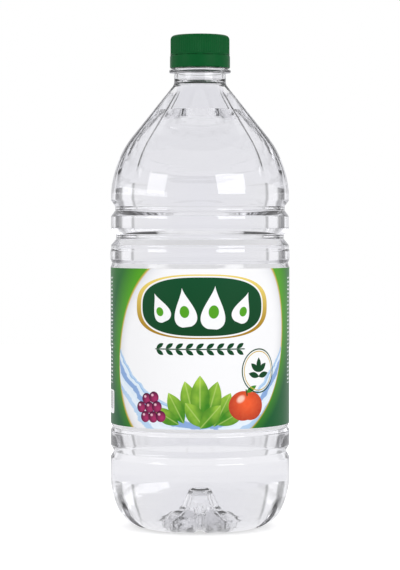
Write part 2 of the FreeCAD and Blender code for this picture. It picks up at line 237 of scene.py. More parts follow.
def round_corners(obj, corners, arc=0.22):
    """Rounds each corner of the wire that has a radius."""
    for i in range(1, len(corners) - 1):
        radius = corners[i][2]
        if radius <= 0:
            continue
        here = Vector((corners[i][0], 0, corners[i][1]))
        back, ahead = between(corners[i - 1], corners[i]), between(corners[i], corners[i + 1])
        pick(obj, "verts", lambda v: (v.co - here).length < 0.01 * MM)
        turn = back.angle(ahead)
        steps = max(2, round(turn / arc) if radius < 5 * MM else round(turn / (arc / 3)))
        bpy.ops.mesh.bevel(offset=reach_of(corners, i), offset_type="OFFSET", segments=steps,
                           affect="VERTICES", clamp_overlap=False)


def lathe(obj, slices):
    """Spins the edited wire once round the axis and closes the seam."""
    bpy.ops.mesh.select_all(action="SELECT")
    bpy.ops.mesh.spin(steps=slices, angle=2 * math.pi, center=(0, 0, 0), axis=(0, 0, 1))
    bpy.ops.mesh.select_all(action="SELECT")
    bpy.ops.mesh.remove_doubles(threshold=0.002 * MM)
    face_outward()


def cut_rings(obj, heights):
    """Adds a ring of edges at each height."""
    for height in heights:
        bpy.ops.mesh.select_all(action="SELECT")
        bpy.ops.mesh.bisect(plane_co=(0, 0, height), plane_no=(0, 0, 1))


def steps_between(low, high, step):
    """Evenly spaced values from low to high, about step apart."""
    count = max(1, round((high - low) / step))
    return [low + (high - low) * i / count for i in range(count + 1)]


def press_in(obj, name, depth, share):
    """Presses the surface in along its normal, by share(vertex) of depth, through a vertex group."""
    group = obj.vertex_groups.new(name=name)
    for vertex in obj.data.vertices:
        weight = share(vertex.co)
        if weight > 0:
            group.add([vertex.index], min(weight, 1.0), "REPLACE")
    apply_modifier(obj, "DISPLACE", direction="NORMAL", mid_level=0.0, strength=-depth, vertex_group=name)
    obj.vertex_groups.remove(obj.vertex_groups[name])


def ease(value):
    """Smooth step from 0 to 1."""
    value = max(0.0, min(1.0, value))
    return value * value * (3 - 2 * value)


# ---- Material helpers ------------------------------------------------------------------------------

class Nodes:
    """Builds a node tree from short calls."""

    def __init__(self, tree):
        self.tree = tree

    def feed(self, socket, value):
        if isinstance(value, bpy.types.NodeSocket):
            self.tree.links.new(value, socket)
        elif socket.type == "RGBA":
            socket.default_value = (*value[:3], 1.0)
        else:
            socket.default_value = value

    def node(self, kind, **settings):
        node = self.tree.nodes.new(kind)
        for key, value in settings.items():
            setattr(node, key, value)
        return node

    def maths(self, operation, *values, clamp=False):
        node = self.node("ShaderNodeMath", operation=operation, use_clamp=clamp)
        for socket, value in zip(node.inputs, values):
            self.feed(socket, value)
        return node.outputs[0]

    def plus(self, first, second, clamp=False):
        return self.maths("ADD", first, second, clamp=clamp)

    def minus(self, first, second):
        return self.maths("SUBTRACT", first, second)

    def times(self, first, second):
        return self.maths("MULTIPLY", first, second)

    def size(self, value):
        """The value without its sign."""
        return self.maths("ABSOLUTE", value)

    def seen_in_clear(self):
        """The light path, and 1 for what glossy and clear things show."""
        path = self.node("ShaderNodeLightPath")
        return path, self.maths("MAXIMUM", path.outputs["Is Glossy Ray"], path.outputs["Is Transmission Ray"])

    def blend(self, amount, first, second):
        """Colour mix: first where amount is 0, second where it is 1."""
        node = self.node("ShaderNodeMix", data_type="RGBA")
        self.feed(node.inputs[0], amount)
        self.feed(node.inputs[6], first)
        self.feed(node.inputs[7], second)
        return node.outputs[2]

    def range(self, value, low, high, first=0.0, second=1.0, smooth=False):
        node = self.node("ShaderNodeMapRange", interpolation_type="SMOOTHSTEP" if smooth else "LINEAR")
        for socket, item in zip(node.inputs, (value, low, high, first, second)):
            self.feed(socket, item)
        return node.outputs[0]


class Shader(Nodes):
    """Builds a material's nodes."""

    def __init__(self, name):
        self.material = bpy.data.materials.new(name)
        self.material.use_nodes = True
        super().__init__(self.material.node_tree)
        self.surface = self.tree.nodes["Principled BSDF"]
        self.output = self.tree.nodes["Material Output"]

    def set(self, **values):
        for key, value in values.items():
            self.surface.inputs[key.replace("_", " ")].default_value = value

    def tint(self, amount, first, second):
        """Feeds the surface's colour with a mix of two."""
        self.feed(self.surface.inputs["Base Color"], self.blend(amount, first, second))

    def place(self):
        """Object coordinates, split into x, y and z."""
        split = self.node("ShaderNodeSeparateXYZ")
        self.tree.links.new(self.node("ShaderNodeTexCoord").outputs["Object"], split.inputs[0])
        return split.outputs

    def noise(self, scale, detail=2.0, stretch=(1, 1, 1), roughness=0.5):
        """A noise pattern on object coordinates; scale is in waves per metre."""
        node = self.node("ShaderNodeTexNoise")
        node.inputs["Scale"].default_value = scale
        node.inputs["Detail"].default_value = detail
        node.inputs["Roughness"].default_value = roughness
        mapping = self.node("ShaderNodeMapping")
        mapping.inputs["Scale"].default_value = stretch
        self.tree.links.new(self.node("ShaderNodeTexCoord").outputs["Object"], mapping.inputs[0])
        self.tree.links.new(mapping.outputs[0], node.inputs["Vector"])
        return node.outputs[0]

    def bump(self, height, distance, strength=1.0):
        node = self.node("ShaderNodeBump")
        node.inputs["Strength"].default_value = strength
        node.inputs["Distance"].default_value = distance
        self.tree.links.new(height, node.inputs["Height"])
        self.tree.links.new(node.outputs[0], self.surface.inputs["Normal"])


def flute_edges(shader):
    """A fine ridge along both edges of each shoulder flute, 1 at its crest."""
    x, y, z = shader.place()
    turn = shader.size(shader.maths("ARCTAN2", x, shader.times(y, -1.0)))
    near, far = FLUTE_TURNS
    half_width, ridge = math.radians(15.5), math.radians(3.0)
    from_middle = shader.size(shader.minus(turn, math.radians((far + near) / 2)))
    from_flute = shader.size(shader.minus(from_middle, math.radians((far - near) / 2)))
    from_edge = shader.size(shader.minus(from_flute, half_width))
    crest = shader.range(from_edge, 0.0, ridge, 1.0, 0.0, smooth=True)
    low, high = LABEL[1].z + 50 * MM, BOTTLE[1].z - 30 * MM
    rise = shader.range(z, low, low + 12 * MM, smooth=True)
    soften = shader.range(z, VINEGAR[1].z, VINEGAR[1].z + 4 * MM, 1.0, 0.4, smooth=True)
    fall = shader.range(z, high - 5 * MM, high, 1.0, 0.0, smooth=True)
    shape = shader.times(shader.times(crest, rise), soften)
    return shader.times(shape, fall)


def clear_material(colour):
    """Clear blown plastic, with the faint waviness that blowing leaves."""
    shader = Shader("clear_plastic")
    shader.set(Roughness=0.0, IOR=1.57, Transmission_Weight=1.0)
    haze = shader.noise(60.0, detail=2.0)
    shader.tint(haze, colour, tuple(0.99 * c for c in colour))
    waves = shader.noise(26.0, detail=1.0, stretch=(1, 1, 0.45))
    _, _, z = shader.place()
    low = shader.range(z, 6 * MM, 24 * MM, 1.0, 0.0, smooth=True)
    crinkle = shader.times(shader.noise(130.0, detail=1.0), low)
    height = shader.plus(shader.times(waves, 0.35), shader.times(crinkle, 0.7))
    height = shader.plus(height, shader.times(flute_edges(shader), 0.9))
    shader.bump(height, 1.0 * MM)
    return shader.material


def vinegar_material(colour):
    """Clear, almost colourless liquid."""
    shader = Shader("vinegar")
    shader.set(Roughness=0.0, IOR=1.34, Transmission_Weight=1.0)
    haze = shader.noise(12.0, detail=2.0)
    shader.tint(haze, colour, tuple(0.995 * c for c in colour))
    return shader.material


def cap_material(name, colour):
    """Coloured moulded plastic with a soft sheen and a fine grain."""
    shader = Shader(name)
    tone = shader.noise(180.0, detail=3.0)
    deep = tuple(0.85 * c for c in colour)
    pale = tuple(1.12 * c + 0.002 for c in colour)
    shader.tint(tone, deep, pale)
    shader.set(Roughness=0.36, IOR=1.5, Specular_IOR_Level=0.09)
    grain = shader.noise(2600.0, detail=2.0)
    shader.bump(grain, 0.02 * MM, 0.6)
    return shader.material


def painted_glow_backing_material(colour):
    """The label's white back, with a faint painted glow that stands for the light coming through the film."""
    shader = Shader("label_backing")
    cloud = shader.noise(30.0, detail=2.0)
    tone = shader.blend(cloud, tuple(0.94 * c for c in colour), colour)
    shader.feed(shader.surface.inputs["Base Color"], tone)
    # Painted glow: the back's own colour is also given off as light, at strength 0.6.
    shader.feed(shader.surface.inputs["Emission Color"], tone)
    shader.set(Roughness=0.6, Emission_Strength=0.6)
    return shader.material


# ---- The label's print -----------------------------------------------------------------------------

class Print(Shader):
    """Paints simple shapes on the label. Places and sizes are in millimetres from the middle of its front."""

    EDGE = 0.16

    def __init__(self, name, middle_z, radius, ground):
        super().__init__(name)
        x, y, z = self.place()
        turn = self.maths("ARCTAN2", x, self.times(y, -1.0))
        self.across = self.times(turn, radius / MM)
        self.up = self.times(self.minus(z, middle_z), 1 / MM)
        joined = self.node("ShaderNodeCombineXYZ")
        self.feed(joined.inputs[0], self.across)
        self.feed(joined.inputs[1], self.up)
        self.spot = joined.outputs[0]
        self.colour = ground

    def local(self, x, y, wide, tall, turn=0.0, source=None):
        """Coordinates about (x, y), turned, in which the shape's half width and half height are 1."""
        mapping = self.node("ShaderNodeMapping", vector_type="TEXTURE")
        mapping.inputs["Location"].default_value = (x, y, 0)
        mapping.inputs["Rotation"].default_value = (0, 0, math.radians(turn))
        mapping.inputs["Scale"].default_value = (wide, tall, 1)
        self.tree.links.new(source or self.spot, mapping.inputs[0])
        return mapping.outputs[0]

    def length(self, vector):
        node = self.node("ShaderNodeVectorMath", operation="LENGTH")
        self.tree.links.new(vector, node.inputs[0])
        return node.outputs["Value"]

    def split(self, vector):
        node = self.node("ShaderNodeSeparateXYZ")
        self.tree.links.new(vector, node.inputs[0])
        return node.outputs[0], node.outputs[1]

    def fill(self, value, size, soft=None):
        """1 where value is above 0, with an edge that is EDGE wide on a shape of that size."""
        blur = (soft or self.EDGE) / size
        return self.range(value, -blur / 2, blur / 2, smooth=True)

    def oval(self, x, y, wide, tall, turn=0.0, soft=None):
        outside = self.length(self.local(x, y, wide, tall, turn))
        return self.fill(self.minus(1.0, outside), min(wide, tall), soft)

    def ring(self, x, y, wide, tall, line):
        outside = self.length(self.local(x, y, wide, tall))
        gap = self.size(self.minus(outside, 1.0))
        return self.fill(self.minus(line / 2 / min(wide, tall), gap), min(wide, tall))

    def plaque(self, x, y, wide, tall, power, turn=0.0):
        """A box whose corners are as round as the power is low."""
        a, b = self.split(self.local(x, y, wide, tall, turn))
        total = self.plus(self.maths("POWER", self.size(a), power),
                         self.maths("POWER", self.size(b), power))
        outside = self.maths("POWER", total, 1 / power)
        return self.fill(self.minus(1.0, outside), min(wide, tall))

    def leaf(self, x, y, long, wide, turn=0.0, source=None):
        """A pointed leaf, and its coordinates along and across."""
        a, b = self.split(self.local(x, y, long, wide, turn, source))
        room = self.minus(1.0, self.times(a, a))
        return self.fill(self.minus(room, self.size(b)), wide), a, b

    def drop(self, x, y, wide, tall, turn=0.0):
        """A drop with its point up."""
        a, b = self.split(self.local(x, y, wide, tall, turn))
        half = self.maths("SQRT", self.minus(1.0, self.times(b, b)), clamp=True)
        taper = self.times(self.minus(1.0, b), 0.77)
        room = self.times(half, taper)
        mask = self.fill(self.minus(room, self.size(a)), wide)
        return self.both(mask, self.range(self.size(b), 0.96, 0.98, 1.0, 0.0))

    def both(self, first, second):
        return self.times(first, second)

    def paint(self, mask, colour):
        self.colour = self.blend(mask, self.colour, colour)


def paint_fields(p, c):
    """Green side fields round a white middle, with a gold edge between them."""
    lean = p.minus(p.across, p.times(p.up, 0.16))
    joined = p.node("ShaderNodeCombineXYZ")
    p.feed(joined.inputs[0], lean)
    p.feed(joined.inputs[1], p.up)
    reach = p.length(p.local(1.0, 1.0, 58.0, 62.0, 0.0, joined.outputs[0]))
    p.white = p.fill(p.minus(1.0, reach), 58.0, 0.3)
    height = p.range(p.up, -46.0, 46.0)
    away = p.range(reach, 1.0, 1.28)
    shade = p.plus(away, p.minus(0.55, p.times(height, 0.75)), clamp=True)
    p.colour = p.blend(shade, c.spring_green, c.side_green)
    edge = p.size(p.minus(reach, 1.0))
    inner = p.range(reach, 0.8, 1.0)
    # The white field turns bluish grey towards its edge.
    hollow = p.blend(p.maths("POWER", inner, 2.5), c.paper, (0.72, 0.73, 0.76))
    p.paint(p.white, hollow)
    p.paint(p.range(edge, 0.0, 0.022, 0.85, 0.0, smooth=True), c.gold)


def paint_plaque(p, c):
    """A dark plaque with gold rims and a row of white drops."""
    sheen = p.range(p.up, 8.0, 42.0, 0.0, 1.0, smooth=True)
    p.paint(p.plaque(1.5, 24.5, 42.0, 18.6, 2.6), p.blend(sheen, (0.4, 0.22, 0.01), (0.85, 0.66, 0.16)))
    p.paint(p.plaque(1.5, 24.5, 38.6, 17.8, 2.6), c.paper)
    tone = p.range(p.up, 8.0, 42.0)
    p.paint(p.plaque(1.5, 24.5, 37.6, 16.9, 2.6), p.blend(tone, c.dark_green, (0.0, 0.07, 0.02)))
    for x, wide, tall, turn in ((-24, 5.2, 9.0, 24), (-9, 6.6, 11.6, 8), (8, 7.2, 12.8, -4),
                                (26, 5.6, 9.6, -22)):
        p.paint(p.drop(x, 24.0, wide, tall, turn), c.paper)
        p.paint(p.oval(x, 21.5, wide * 0.42, tall * 0.3, turn), c.spring_green)


def paint_garland(p, c):
    """A garland of paired leaves under the plaque."""
    inside = p.plaque(0.0, 0.0, 27.0, 4.2, 8.0)
    shift = p.maths("WRAP", p.across, 3.0, -3.0)
    joined = p.node("ShaderNodeCombineXYZ")
    p.feed(joined.inputs[0], shift)
    p.feed(joined.inputs[1], p.up)
    for height, turn in ((1.9, 32), (-1.9, -32)):
        mask, _, _ = p.leaf(0.0, height, 2.7, 1.25, turn, joined.outputs[0])
        p.paint(p.both(mask, inside), c.dark_green)
    stem = p.fill(p.minus(0.35, p.size(p.up)), 1.0)
    p.paint(p.both(stem, inside), c.dark_green)


def paint_badge(p, c):
    """A round badge with a sprig in it."""
    x, y = 37.0, -13.0
    p.paint(p.ring(x, y, 11.6, 12.6, 0.7), c.dark_green)
    p.paint(p.ring(x, y, 10.3, 11.3, 0.5), c.gold)
    for i, turn in enumerate((90, 42, 138, 15, 165)):
        rise = (2.6, 0.6, 0.6, -3.6, -3.6)[i]
        side = math.cos(math.radians(turn)) * 3.6
        mask, _, _ = p.leaf(x + side, y + rise + 1.2, 3.9, 1.7, turn)
        p.paint(mask, c.dark_green)


def paint_water(p, c):
    """Bands of blue waves along the foot of the white field."""
    ripple = p.noise(38.0, detail=4.0, stretch=(1, 1, 1.6), roughness=0.6)
    sweep = p.times(p.times(p.across, p.across), 0.011)
    line = p.minus(p.up, p.minus(sweep, 41.0))
    wavy = p.plus(line, p.times(p.minus(ripple, 0.5), 14.0))
    for low, high, colour, share in ((-18, 5.0, (0.3, 0.55, 0.85), 0.7),
                                     (-10, 2.5, (0.78, 0.88, 0.96), 0.9),
                                     (-6.5, -1.0, (0.05, 0.22, 0.6), 0.7),
                                     (-13.5, -8.5, (0.85, 0.92, 0.98), 0.9),
                                     (1.5, 3.2, (0.12, 0.36, 0.72), 0.6)):
        upper = p.range(wavy, high - 0.9, high, 1.0, 0.0, smooth=True)
        lower = p.range(wavy, low, low + 0.9, 0.0, 1.0, smooth=True)
        mask = p.both(p.both(upper, lower), p.white)
        p.paint(p.times(mask, share), colour)


def paint_produce(p, c):
    """Leaves, a bunch of dark berries and a red fruit along the foot."""
    grain = p.noise(420.0, detail=3.0)
    curl = p.noise(120.0, detail=2.0)
    for x, y, long, wide, turn in ((-14, -34, 10, 4.6, 118), (13, -35, 11, 5.0, 62), (-6, -30, 12, 5.2, 104),
                                   (7, -30, 12, 5.2, 74), (0, -28, 13, 5.6, 90), (-20, -39, 9, 4.2, 150),
                                   (19, -39, 10, 4.4, 28), (-3, -38, 9, 4.8, 128), (6, -39, 9, 4.8, 48)):
        mask, along, side = p.leaf(x, y, long, wide, turn)
        tone = p.plus(p.times(curl, 0.9), p.times(along, 0.25))
        green = p.blend(p.range(tone, 0.2, 0.8), (0.05, 0.25, 0.012), (0.38, 0.62, 0.06))
        vein = p.range(p.size(side), 0.0, 0.12, 0.6, 0.0)
        rim = p.range(p.size(side), 0.35, 1.0, 0.0, 0.5)
        green = p.blend(vein, green, (0.55, 0.72, 0.2))
        p.paint(mask, p.blend(rim, green, (0.03, 0.17, 0.01)))
    berries = ((-33, -29), (-28, -28), (-37, -34), (-31, -34), (-26, -33.5), (-34, -39.5),
               (-28.5, -39.5), (-23.5, -39))
    for x, y in berries:
        near = p.length(p.local(x + 0.8, y - 0.9, 3.6, 3.6))
        body = p.blend(p.range(near, 0.2, 1.2), (0.4, 0.03, 0.13), (0.05, 0.0, 0.03))
        p.paint(p.oval(x, y, 3.2, 3.3), body)
        p.paint(p.oval(x - 1.0, y + 1.2, 0.8, 0.7, 0, 0.7), (0.85, 0.5, 0.6))
    near = p.length(p.local(28.5, -31.5, 10.5, 9.5))
    flesh = p.blend(p.range(near, 0.2, 1.2), (0.9, 0.09, 0.02), (0.4, 0.01, 0.005))
    streak = p.blend(p.times(grain, 0.25), flesh, (0.95, 0.3, 0.1))
    p.paint(p.oval(26.0, -33.0, 9.2, 8.6), streak)
    p.paint(p.oval(31.0, -33.2, 8.6, 8.2), streak)
    p.paint(p.oval(24.5, -29.0, 2.6, 1.8, 30, 1.6), (1.0, 0.62, 0.5))
    mask, _, _ = p.leaf(31.5, -23.5, 4.2, 1.5, 28)
    p.paint(mask, (0.05, 0.25, 0.02))
    p.paint(p.plaque(28.3, -25.4, 0.5, 2.0, 4, 12), (0.1, 0.06, 0.01))


def paint_small_print(p, c):
    """Columns of short white bars at the sides, and a plain panel of bars at the back."""
    row = p.maths("FLOORED_MODULO", p.up, 2.3)
    line = p.fill(p.minus(0.5, p.size(p.minus(row, 1.15))), 1.0)
    ragged = p.noise(700.0, detail=1.0)
    ends = p.times(p.minus(ragged, 0.5), 6.0)
    side = p.size(p.plus(p.across, ends))
    gaps = p.range(p.noise(1500.0, detail=0.0), 0.4, 0.44)
    for inner, outer, low, high in ((70.5, 75.5, -22.0, 41.0), (84.0, 112.0, -30.0, 38.0)):
        column = p.both(p.range(side, inner, inner + 0.2), p.range(side, outer, outer + 0.2, 1.0, 0.0))
        span = p.both(p.range(p.up, low, low + 0.1), p.range(p.up, high, high + 0.1, 1.0, 0.0))
        p.paint(p.both(p.both(p.both(column, span), line), gaps), c.paper)
    back = p.minus(168.0, p.size(p.across))
    panel = p.both(p.range(back, 34.0, 34.2, 1.0, 0.0), p.range(p.size(p.up), 36.0, 36.2, 1.0, 0.0))
    p.paint(panel, c.paper)
    inked = p.both(p.both(panel, line), p.both(p.range(back, 30.0, 30.2, 1.0, 0.0), gaps))
    p.paint(p.both(inked, p.range(p.size(p.up), 32.0, 32.2, 1.0, 0.0)), c.dark_green)


def paint_stripe_patch(p, c):
    """A white patch of plain upright stripes low on the left side."""
    patch = p.plaque(-78.0, -33.0, 11.0, 7.0, 12.0)
    p.paint(patch, c.paper)
    beat = p.plus(p.maths("SINE", p.times(p.across, 5.3)), p.maths("SINE", p.times(p.across, 8.9)))
    stripes = p.both(p.plaque(-78.0, -32.0, 9.6, 5.2, 16.0), p.range(beat, 0.1, 0.3))
    p.paint(stripes, (0.02, 0.02, 0.02))


def label_material(c, middle_z):
    """Printed glossy film."""
    p = Print("label_print", middle_z, LABEL_R, c.paper)
    for paint in (paint_fields, paint_water, paint_produce, paint_plaque, paint_garland, paint_badge,
                  paint_small_print, paint_stripe_patch):
        paint(p, c)
    p.feed(p.surface.inputs["Base Color"], p.colour)
    p.set(Roughness=0.36, IOR=1.45, Specular_IOR_Level=0.2)
    cockle = p.noise(45.0, detail=2.0, stretch=(1, 1, 0.6))
    p.bump(cockle, 0.05 * MM)
    return p.material


# ---- The bottle's surface --------------------------------------------------------------------------

def heel_shape(s):
    """Corner height and the two radii of the heel, whose curves meet without a straight between them."""
    corner = (s.heel_h + BODY_R - s.stand_r) / (1 + math.tan(s.heel_taper) + 1 / math.cos(s.heel_taper))
    upper = (s.heel_h - corner) / math.tan(s.heel_taper / 2)
    foot_r = BODY_R - corner * math.tan(s.heel_taper)
    lower = (foot_r - s.stand_r) / math.tan((math.pi / 2 - s.heel_taper) / 2)
    return corner, foot_r, upper, lower


def groove(radius, centre, depth, mouth, floor):
    """Corners, from the top down, of a groove in a wall; mouth and floor are half its widths there."""
    return [(radius, centre + mouth, 1.6 * MM), (radius - depth, centre + floor, 0.9 * MM),
            (radius - depth, centre - floor, 0.9 * MM), (radius, centre - mouth, 1.6 * MM)]


def cone_top(s):
    """Height at which the cone's line meets the neck."""
    ring_r = BODY_R - s.ring_step
    corner = LABEL[1].z + s.shoulder_above + s.shoulder_round * math.tan(s.cone_angle / 2)
    return corner + (ring_r - s.neck_r) / math.tan(s.cone_angle)


def skin_corners(s):
    """The blown body's outside, from just under the support ring to the middle of the base."""
    top, foot = LABEL[1].z, LABEL[0].z
    ring_r, panel_r = BODY_R - s.ring_step, BODY_R - s.panel_step
    corner_z = top + s.shoulder_above + s.shoulder_round * math.tan(s.cone_angle / 2)
    corners = [(s.neck_r, cone_top(s) + BLOWN_NECK_H, 0.0), (s.neck_r, cone_top(s), 5.0 * MM),
               (ring_r, corner_z, s.shoulder_round)]
    corners += groove(ring_r, top + 35.1 * MM, depth=2.5 * MM, mouth=4.7 * MM, floor=1.3 * MM)
    corners += groove(ring_r, top + 18.2 * MM, depth=3.0 * MM, mouth=5.0 * MM, floor=1.3 * MM)
    corners += [(ring_r, top + 11.1 * MM, 1.6 * MM), (BODY_R, top + 9.6 * MM, 1.6 * MM)]
    upper_lip = groove(BODY_R, top + 2.6 * MM, depth=0.9 * MM, mouth=2.2 * MM, floor=0.3 * MM)
    lower_lip = groove(BODY_R, foot - 2.3 * MM, depth=1.1 * MM, mouth=2.2 * MM, floor=0.3 * MM)
    corners += upper_lip[:3] + [(panel_r, *upper_lip[3][1:]), (panel_r, *lower_lip[0][1:])] + lower_lip[1:]
    corners += groove(BODY_R, foot - 16.8 * MM, depth=2.0 * MM, mouth=3.6 * MM, floor=0.3 * MM)
    heel_z, heel_foot_r, upper, lower = heel_shape(s)
    corners += [(BODY_R, heel_z, upper), (heel_foot_r, 0.0, lower)]
    corners += [(s.stand_r - STAND_WIDTH, 0.0, PUSH_ROUND), (*PUSH_KNEE, PUSH_ROUND),
                (PUSH_TOP_R, s.push_h, PUSH_ROUND), (0.0, s.push_h, 0.0)]
    return corners


def flute_share(s):
    """The share of the flute depth at a place: hollow panels down the shoulder, at the flutes' turns."""
    foot_z = LABEL[1].z + s.shoulder_above + s.shoulder_round * math.sin(s.cone_angle)
    start_z, end_z = cone_top(s) - FLUTE_START, LABEL[1].z + s.shoulder_above + FLUTE_END
    cosine = math.cos(s.cone_angle)

    def share(place):
        if not end_z < place.z < start_z:
            return 0.0
        radius = place.xy.length
        turn = math.degrees(math.atan2(abs(place.x), -place.y))
        across = radius * math.radians(min(abs(turn - middle) for middle in FLUTE_TURNS))
        if place.z > foot_z:
            depth = (FLUTE_TOP_DEPTH + (s.flute_depth - FLUTE_TOP_DEPTH) * (start_z - place.z)
                     / (start_z - foot_z))
        else:
            fall = (place.z - end_z) / (foot_z - end_z)
            depth = s.flute_depth * math.sin(fall * math.pi / 2)
        bend = cosine / radius + 1 / s.flute_floor
        left = depth - across ** 2 * bend / 2
        edge = 0.3 * MM
        soft = left if left > edge else edge * ease((left + edge) / (2 * edge))
        return max(0.0, soft) / s.flute_depth if left > -edge else 0.0

    return share


def rib_share(s):
    """The share of the rib depth at a place: six ribs from the push-up, across the ring and up the heel."""
    def share(place):
        radius = place.xy.length
        if place.z > s.heel_h or radius < RIB_START_R:
            return 0.0
        turn = math.degrees(math.atan2(place.x, -place.y)) % 60.0
        across = radius * math.radians(min(turn, 60.0 - turn))
        inside = radius < s.stand_r
        fade = ease((radius - RIB_START_R) / (4 * MM)) if inside else ease((RIB_END_Z - place.z) / (12 * MM))
        width = s.rib_width * (1.0 if inside else 0.55 + 0.45 * fade)
        if across >= width:
            return 0.0
        return fade * math.sqrt(1 - (across / width) ** 2)

    return share


def make_skin(s):
    """The outside of the blown body as one open surface."""
    corners = skin_corners(s)
    obj = outline(corners)
    round_corners(obj, corners)
    lathe(obj, s.slices)
    cut_rings(obj, steps_between(LABEL[1].z + s.shoulder_above + 2 * MM, cone_top(s) - 4 * MM, 2.0 * MM))
    cut_rings(obj, steps_between(1.0 * MM, s.heel_h - 3 * MM, 1.25 * MM))
    bpy.ops.mesh.select_all(action="SELECT")
    bpy.ops.mesh.remove_doubles(threshold=0.01 * MM)
    bpy.ops.object.mode_set(mode="OBJECT")
    press_in(obj, "flutes", s.flute_depth, flute_share(s))
    press_in(obj, "ribs", s.rib_depth, rib_share(s))
    return obj


def neck_end(s):
    """Height at which the neck's inside meets the blown wall's inside."""
    return cone_top(s) - BORE_DROP


def neck_outside(s):
    """Corners of the neck finish, from the blown neck up and over the lip and down the bore."""
    under = cone_top(s) + 6.8 * MM
    finish_r = s.neck_r - 0.2 * MM
    bead_z = under + 6.8 * MM
    lip = BOTTLE[1].z
    bore = s.neck_r - s.neck_wall
    slope = math.tan(s.cone_angle)
    bore_foot = cone_top(s) + (s.neck_wall - s.wall / math.cos(s.cone_angle)) / slope
    ring_top = under + 1.8 * MM
    bead_r, bead_foot, bead_crest = finish_r + 0.9 * MM, bead_z - 0.8 * MM, bead_z + 0.8 * MM
    return [(s.neck_r, cone_top(s) + BLOWN_NECK_H, 0.0), (s.neck_r, under, 0.5 * MM),
            (s.support_r, under, 0.7 * MM), (s.support_r, ring_top, 0.6 * MM), (finish_r, ring_top, 0.4 * MM),
            (finish_r, bead_foot, 0.2 * MM), (bead_r, bead_foot, 0.2 * MM), (bead_r, bead_crest, 0.3 * MM),
            (finish_r, bead_z + 1.7 * MM, 0.3 * MM), (finish_r, lip, 0.5 * MM), (bore, lip, 0.5 * MM),
            (bore, bore_foot, 5.4 * MM), (bore + (bore_foot - neck_end(s)) * slope, neck_end(s), 0.0)]


def thicken_base(obj, outer, s):
    """Moves the inner surface up over the base, where a blown bottle's wall is thickest."""
    group = obj.vertex_groups.new(name="thick base")
    for vertex in obj.data.vertices[outer:]:
        radius = vertex.co.xy.length
        if vertex.co.z < s.push_h + 2 * MM and radius < s.stand_r:
            group.add([vertex.index], ease((s.stand_r - radius) / (9 * MM)), "REPLACE")
    apply_modifier(obj, "DISPLACE", direction="Z", mid_level=0.0, strength=s.base_wall - s.wall,
                   vertex_group="thick base")


class BOTTLE_OT_wall(bpy.types.Operator):
    """Model the moulded bottle: ringed wall, fluted shoulder, ribbed base and neck finish"""

    bl_idname = "vinegar_bottle.wall"
    bl_label = "Bottle wall"

    def execute(self, context):
        sizes = context.scene.bottle_sizes
        skin = make_skin(sizes)
        only(skin)
        bpy.ops.object.duplicate()
        core = context.object
        core.name = "vinegar_fill"
        outer = len(skin.data.vertices)
        apply_modifier(skin, "SOLIDIFY", thickness=sizes.wall, offset=-1.0, use_rim=False,
                       use_even_offset=True)
        bpy.ops.object.mode_set(mode="EDIT")
        bpy.ops.mesh.select_mode(type="VERT")
        pick(skin, "verts", lambda v: v.index >= outer and v.co.z > neck_end(sizes) - 0.2 * MM)
        bpy.ops.mesh.delete(type="VERT")
        bpy.ops.object.mode_set(mode="OBJECT")
        thicken_base(skin, outer, sizes)
        corners = neck_outside(sizes)
        neck = outline(corners)
        round_corners(neck, corners, arc=0.3)
        lathe(neck, sizes.slices)
        bpy.ops.object.mode_set(mode="OBJECT")
        bpy.ops.object.select_all(action="DESELECT")
        neck.select_set(True)
        skin.select_set(True)
        context.view_layer.objects.active = skin
        bpy.ops.object.join()
        bpy.ops.object.mode_set(mode="EDIT")
        bpy.ops.mesh.select_all(action="SELECT")
        bpy.ops.mesh.remove_doubles(threshold=0.02 * MM)
        bpy.ops.mesh.select_mode(type="EDGE")
        bpy.ops.mesh.select_all(action="DESELECT")
        bpy.ops.mesh.select_non_manifold()
        bpy.ops.mesh.bridge_edge_loops()
        face_outward()
        done(skin, "bottle_wall", 25.0, clear_material(context.scene.bottle_colours.clear))
        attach(skin, "root")
        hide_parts("bottle")
        return {"FINISHED"}


class BOTTLE_OT_vinegar(bpy.types.Operator):
    """Model the vinegar, which reaches just into the wall, up to its level with a small rise at the edge"""

    bl_idname = "vinegar_bottle.vinegar"
    bl_label = "Vinegar"

    def execute(self, context):
        sizes = context.scene.bottle_sizes
        core = bpy.data.objects["vinegar_fill"]
        only(core)
        apply_modifier(core, "DISPLACE", direction="NORMAL", mid_level=0.0, strength=-sizes.wall / 2)
        bpy.ops.object.mode_set(mode="EDIT")
        bpy.ops.mesh.select_all(action="SELECT")
        bpy.ops.mesh.bisect(plane_co=(0, 0, VINEGAR[1].z), plane_no=(0, 0, 1), clear_outer=True,
                            use_fill=True)
        for fall in (0.35 * MM, 0.1 * MM):
            bpy.ops.mesh.inset(thickness=1.2 * MM)
            bpy.ops.transform.translate(value=(0, 0, -fall))
        face_outward()
        done(core, "vinegar_fill", 35.0, vinegar_material(context.scene.bottle_colours.vinegar))
        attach(core, "root")
        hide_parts("vinegar")
        return {"FINISHED"}


def cap_corners(s):
    """Outline of the screw cap, from the middle of its top round the skirt to the middle of its inside."""
    side = CAP_RIM_R - s.rim_proud
    foot = CAP[0].z + 0.7 * MM
    bore = s.neck_r + 0.2 * MM
    return [(0.0, CAP[1].z, 0.0), (side, CAP[1].z, 2.6 * MM), (side, foot, 0.08 * MM),
            (CAP_RIM_R, foot, 0.1 * MM), (CAP_RIM_R, CAP[0].z, 0.25 * MM), (bore, CAP[0].z, 0.2 * MM),
            (bore, BOTTLE[1].z, 0.3 * MM), (0.0, BOTTLE[1].z, 0.0)]


def knurl_share(s):
    """Share of the knurls' depth at a point of the cap."""
    low, high = CAP[0].z + 0.72 * MM, CAP[1].z - 1.0 * MM

    def share(point):
        if point.z < low or point.z > high or math.hypot(point.x, point.y) < CAP_RIM_R - 1.2 * MM:
            return 0.0
        return 0.5 - 0.5 * math.cos(s.knurls * math.atan2(point.y, point.x))

    return share


